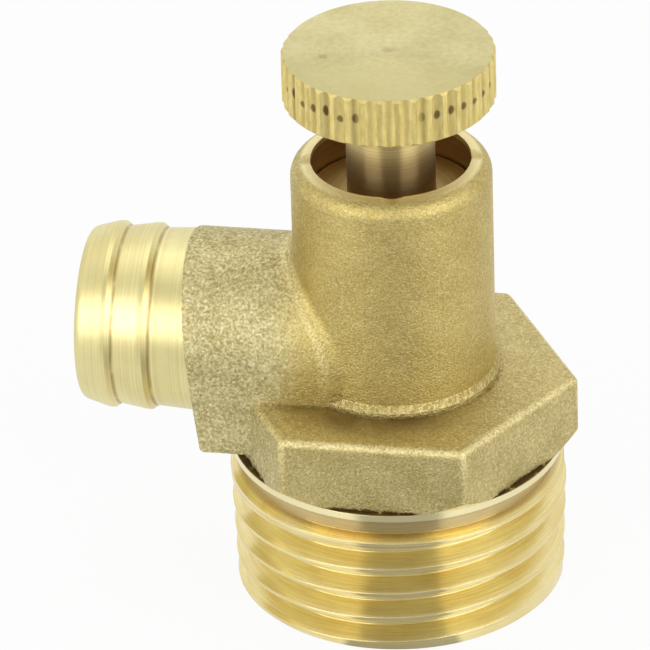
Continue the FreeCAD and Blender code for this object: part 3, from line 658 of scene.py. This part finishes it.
def finish_of(center, normal):
    from_barrel = math.hypot(center.x, center.y)
    from_branch = math.hypot(center.y, center.z - BRANCH_AXIS)
    outwards = center.x * normal.x + center.y * normal.y
    in_chamber = from_barrel < CHAMBER_REACH and CHAMBER_FLOOR < center.z < CHAMBER_TOP
    faces_inlet = outwards < 0 or normal.z < -0.5
    in_inlet = from_barrel < INLET_REACH and center.z < INLET_TOP and faces_inlet
    in_outlet = center.x < OUTLET_START and from_branch < OUTLET_REACH
    if in_chamber or in_inlet or in_outlet:
        return BORE
    under_hex = center.z < LEDGE_TOP and center.x > LEDGE_END and from_barrel > LEDGE_REACH
    if center.z < HEX_BOTTOM - 0.01 * MM or (normal.z < -0.3 and under_hex):
        return UPRIGHT
    if center.x < TAIL_START and (from_branch < TAIL_REACH or center.x < TAIL_ALONE):
        return BRANCH
    return CAST


print("finishes on the casting:", BORE + 1)


# %% [markdown]
# Dressing a solid means filling its material slots and setting the slot number of every face. Its
# shape and place stay untouched, so it still fits its neighbours.

# %% Finishes on the casting
def dress(node, materials):
    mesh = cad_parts[node].data
    mesh.materials.clear()
    for material in materials:
        mesh.materials.append(material)
    return mesh


body_mesh = dress("valve_body", [cast_brass, turned_upright, turned_branch, drilled])
counts = [0, 0, 0, 0]
for face in body_mesh.polygons:
    face.material_index = finish_of(face.center, face.normal)
    counts[face.material_index] += 1
print("faces cast, turned upright, turned branch, drilled:", counts)

# %% [markdown]
# The spindle is one turned piece as well. Height alone tells its top face and its collar, and the
# knurl is what lies far from the axis on the knob. All that is left is stem.

# %% Finishes on the spindle
TURNED, FACED, KNURLED, COLLAR = range(4)
KNOB_RADIUS = 6.6 * MM
KNURL_REACH = KNOB_RADIUS - 0.6 * MM
spindle_mesh = dress("spindle", [turned_stem, faced_brass, knurled_brass, turned_collar])
for face in spindle_mesh.polygons:
    from_axis = math.hypot(face.center.x, face.center.y)
    if face.center.z > KNOB_TOP - 0.02 * MM:
        face.material_index = FACED
    elif face.center.z > KNOB_BOTTOM and from_axis > KNURL_REACH:
        face.material_index = KNURLED
    elif face.center.z < COLLAR_TOP + 0.01 * MM:
        face.material_index = COLLAR
    else:
        face.material_index = TURNED
print("faces of the knob's top:", sum(face.material_index == FACED for face in spindle_mesh.polygons))

# %% [markdown]
# Inside the barrel sit the jumper, which is turned from the same brass as the stem, and the two
# rubber seals. Each has one finish, so one slot is enough.

# %% Finishes inside
dress("jumper", [turned_stem])
dress("stem_o_ring", [rubber])
dress("valve_washer", [rubber])
print("dressed the jumper and seals")

# %% [markdown]
# Polished brass shows little of itself and much of the room. In a studio with white panels either
# side, the aisle in front and overhead is darker than the panels, so turned brass has a dark middle
# between two bright strips. Real panels could be built as meshes, but then they would cast shadows.
# Here one function gives the brightness that a mirror sees in each direction, and the floor and the
# room both use it.

# %% What the metal mirrors
to_camera = Vector((backwards.x, backwards.y, 0.0)).normalized()
to_right = Vector((rightwards.x, rightwards.y, 0.0)).normalized()
PANEL_LEVEL = 1.0
SIDE_LEVEL = 0.95
BACK_LEVEL = 1.0
AISLE_WIDTH = 0.25
AISLE_FLARE = 0.29
PANEL_WIDTH = 0.45
PANEL_FLARE = 0.42


def mirrored_level(tree, direction, aisle_level, spread=1.0):
    """Brightness in a direction from the object: aisle, panels either side, duller sides, white back."""
    front = reach_along(tree, direction, tuple(to_camera))
    side = arithmetic(tree, "ABSOLUTE", reach_along(tree, direction, tuple(to_right)))
    side = arithmetic(tree, "DIVIDE", side, spread)
    aisle_edge = total(tree, AISLE_WIDTH, product(tree, front, AISLE_FLARE))
    panel_edge = total(tree, PANEL_WIDTH, product(tree, front, PANEL_FLARE))
    past_aisle = band(tree, arithmetic(tree, "SUBTRACT", side, aisle_edge), -0.05, 0.05)
    past_panel = band(tree, arithmetic(tree, "SUBTRACT", side, panel_edge), -0.06, 0.06)
    level = blend_values(tree, past_aisle, aisle_level, PANEL_LEVEL)
    level = blend_values(tree, past_panel, level, SIDE_LEVEL)
    return blend_values(tree, band(tree, front, -0.25, -0.55), level, BACK_LEVEL)


print("aisle runs towards", tuple(round(v, 2) for v in to_camera))

# %% [markdown]
# The floor is a plain pale sheet. It lies a hair below the thread's end, because two surfaces in one
# plane flicker.

# %% Floor
FLOOR_GAP = 0.02 * MM
FLOOR_REACH = 3.0
floor_mesh = bpy.data.meshes.new("floor")
floor_shape = bmesh.new()
bmesh.ops.create_grid(floor_shape, x_segments=1, y_segments=1, size=FLOOR_REACH)
floor_shape.to_mesh(floor_mesh)
floor_shape.free()
floor = bpy.data.objects.new("floor", floor_mesh)
floor.location.z = -FLOOR_GAP
bpy.context.scene.collection.objects.link(floor)
print("floor laid at", round(floor.location.z, 6))

# %% [markdown]
# A lamp strong enough to make the floor white would bleach the brass. So the floor glows, but only
# for rays from the camera or off the metal, and a small share of plain white keeps the soft shadow.
# Seen in the metal, the floor has the darker aisle in front, which is narrower and a little darker
# close to the part.

# %% White of the floor
FLOOR_WHITE = (0.9, 0.9, 0.9, 1.0)
GLOW_WHITE = (1.0, 1.0, 1.0, 1.0)
FLOOR_GLOW = 0.92
NEAR_FLOOR_LEVEL = 0.40
FAR_FLOOR_LEVEL = 0.48
NEAR_SPREAD = 0.7
floor_white, tree = start_material("floor_white")
rays = add_node(tree, "ShaderNodeLightPath").outputs
place = add_node(tree, "ShaderNodeTexCoord").outputs["Object"]
direction = add_node(tree, "ShaderNodeVectorMath", {0: place}, operation="NORMALIZE").outputs[0]
distance = add_node(tree, "ShaderNodeVectorMath", {0: place}, operation="LENGTH").outputs["Value"]
far_off = band(tree, distance, 24 * MM, 46 * MM)
front_floor = blend_values(tree, far_off, NEAR_FLOOR_LEVEL, FAR_FLOOR_LEVEL)
spread = blend_values(tree, band(tree, distance, 16 * MM, 45 * MM), NEAR_SPREAD, 1.0)
in_metal = mirrored_level(tree, direction, front_floor, spread)
glow_level = blend_values(tree, rays["Is Glossy Ray"], 1.0, in_metal)
in_metal_or_glass = larger(tree, rays["Is Glossy Ray"], rays["Is Transmission Ray"])
seen = larger(tree, rays["Is Camera Ray"], in_metal_or_glass)
pale = add_node(tree, "ShaderNodeBsdfDiffuse", {"Color": FLOOR_WHITE})
glow = add_node(tree, "ShaderNodeEmission", {"Color": GLOW_WHITE, "Strength": glow_level})
shown = add_node(tree, "ShaderNodeMixShader",
                 {0: product(tree, seen, FLOOR_GLOW), 1: pale.outputs[0], 2: glow.outputs[0]})
add_node(tree, "ShaderNodeOutputMaterial", {0: shown.outputs[0]})
floor_mesh.materials.append(floor_white)
print("floor glows by", FLOOR_GLOW)

# %% [markdown]
# The room is the world's background. To the camera it is plain white, as light it is about half as
# strong, so that colours come out as they are written, and in the metal it has the aisle: bright in
# front and darker overhead. A picture of a studio would do the same, but this lesson uses nodes
# alone.

# %% White room
ROOM_LIGHT = 0.55
FRONT_LEVEL = 0.85
OVERHEAD_LEVEL = 0.58
world = bpy.data.worlds.new("white_room")
world.use_nodes = True
bpy.context.scene.world = world
tree = world.node_tree
tree.nodes.clear()
direction = add_node(tree, "ShaderNodeTexCoord").outputs["Generated"]
rays = add_node(tree, "ShaderNodeLightPath").outputs
seen = larger(tree, rays["Is Camera Ray"], rays["Is Transmission Ray"])
level = blend_values(tree, seen, ROOM_LIGHT, 1.0)
up = add_node(tree, "ShaderNodeSeparateXYZ", {0: direction}).outputs[2]
aisle_level = blend_values(tree, band(tree, up, 0.5, 0.85), FRONT_LEVEL, OVERHEAD_LEVEL)
in_metal = mirrored_level(tree, direction, aisle_level)
level = blend_values(tree, rays["Is Glossy Ray"], level, in_metal)
sky = add_node(tree, "ShaderNodeBackground", {"Color": GLOW_WHITE, "Strength": level})
add_node(tree, "ShaderNodeOutputWorld", {0: sky.outputs[0]})
print("room lights by", ROOM_LIGHT)


# %% [markdown]
# Three soft boxes give the form its shade: one at each side of the camera and a weaker one high
# behind. A sun would give hard shadows; large area lamps close by give the soft ones of a studio.

# %% Lamps
LAMP_AIM = Vector((-0.003, 0.0, 0.018))


def soft_lamp(name, turn, rise, distance, width, height, power):
    """A soft box, turned round from the camera and raised, both in degrees, aimed at the object."""
    data = bpy.data.lights.new(name, "AREA")
    data.shape = "RECTANGLE"
    data.size = width
    data.size_y = height
    data.energy = power
    lamp = bpy.data.objects.new(name, data)
    bpy.context.scene.collection.objects.link(lamp)
    level_way = Matrix.Rotation(math.radians(turn), 3, "Z") @ to_camera
    way = level_way * math.cos(math.radians(rise))
    way.z = math.sin(math.radians(rise))
    lamp.location = LAMP_AIM + way * distance
    lamp.rotation_euler = way.to_track_quat("Z", "Y").to_euler()
    print(name, tuple(round(v, 3) for v in lamp.location))


soft_lamp("left_box", turn=-45, rise=20, distance=0.5, width=0.4, height=0.34, power=0.9)
soft_lamp("right_box", turn=45, rise=20, distance=0.5, width=0.4, height=0.34, power=1.0)
soft_lamp("top_box", turn=180, rise=75, distance=0.6, width=0.5, height=0.5, power=0.62)
